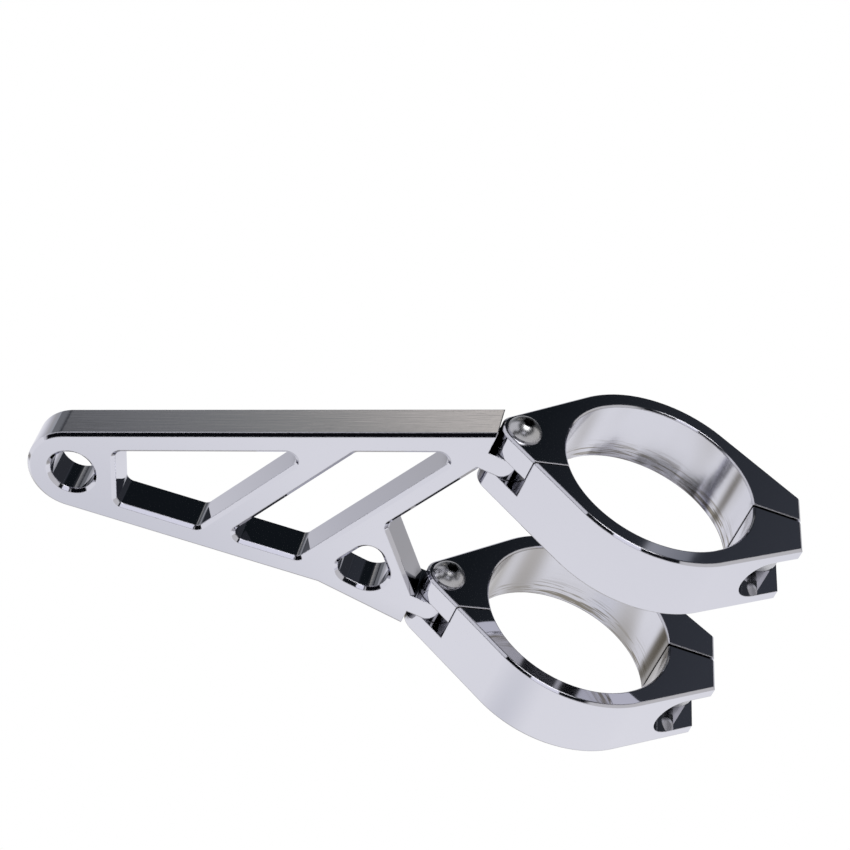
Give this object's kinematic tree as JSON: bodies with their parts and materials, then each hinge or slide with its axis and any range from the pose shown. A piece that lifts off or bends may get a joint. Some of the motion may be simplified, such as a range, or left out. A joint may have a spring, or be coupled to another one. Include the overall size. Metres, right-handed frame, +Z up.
{
  "type": "headlight mounting bracket",
  "caption": "Milled truss arm that carries a headlight beside a fork leg, held by two hinged split clamps that close round the fork tube one above the other.",
  "frame": {"origin": "on the fork tube's axis, at half height of the upper clamp", "axes": "+Z up the fork tube, -X along the arm to the headlight hole, +Y to the back, where the lamp's seat is"},
  "size_m": [0.2002, 0.0644, 0.0859],
  "materials": {
    "plated_arm": "bright chrome plate over milled aluminium",
    "plated_clamp": "bright chrome plate over milled aluminium",
    "stainless_screw": "turned stainless steel"
  },
  "bodies": {
    "upper_clamp": {"upper_clamp_back_half": "plated_clamp", "upper_clamp_front_half": "plated_clamp", "upper_hinge_screw": "stainless_screw", "upper_pinch_screw": "stainless_screw"},
    "arm": {"bracket_arm": "plated_arm"},
    "lower_clamp": {"lower_clamp_back_half": "plated_clamp", "lower_clamp_front_half": "plated_clamp", "lower_hinge_screw": "stainless_screw", "lower_pinch_screw": "stainless_screw"}
  },
  "joints": [
    {"name": "arm_swivel", "type": "hinge", "parent": "upper_clamp", "child": "arm", "pos_m": [-0.03862, -0.00543, 0], "axis": [0, 0, 1], "range_deg": [-27, 43]},
    {"name": "lower_clamp_swivel", "type": "hinge", "parent": "arm", "child": "lower_clamp", "pos_m": [-0.03862, -0.00543, -0.056], "axis": [0, 0, 1], "range_deg": [-43, 27]}
  ]
}
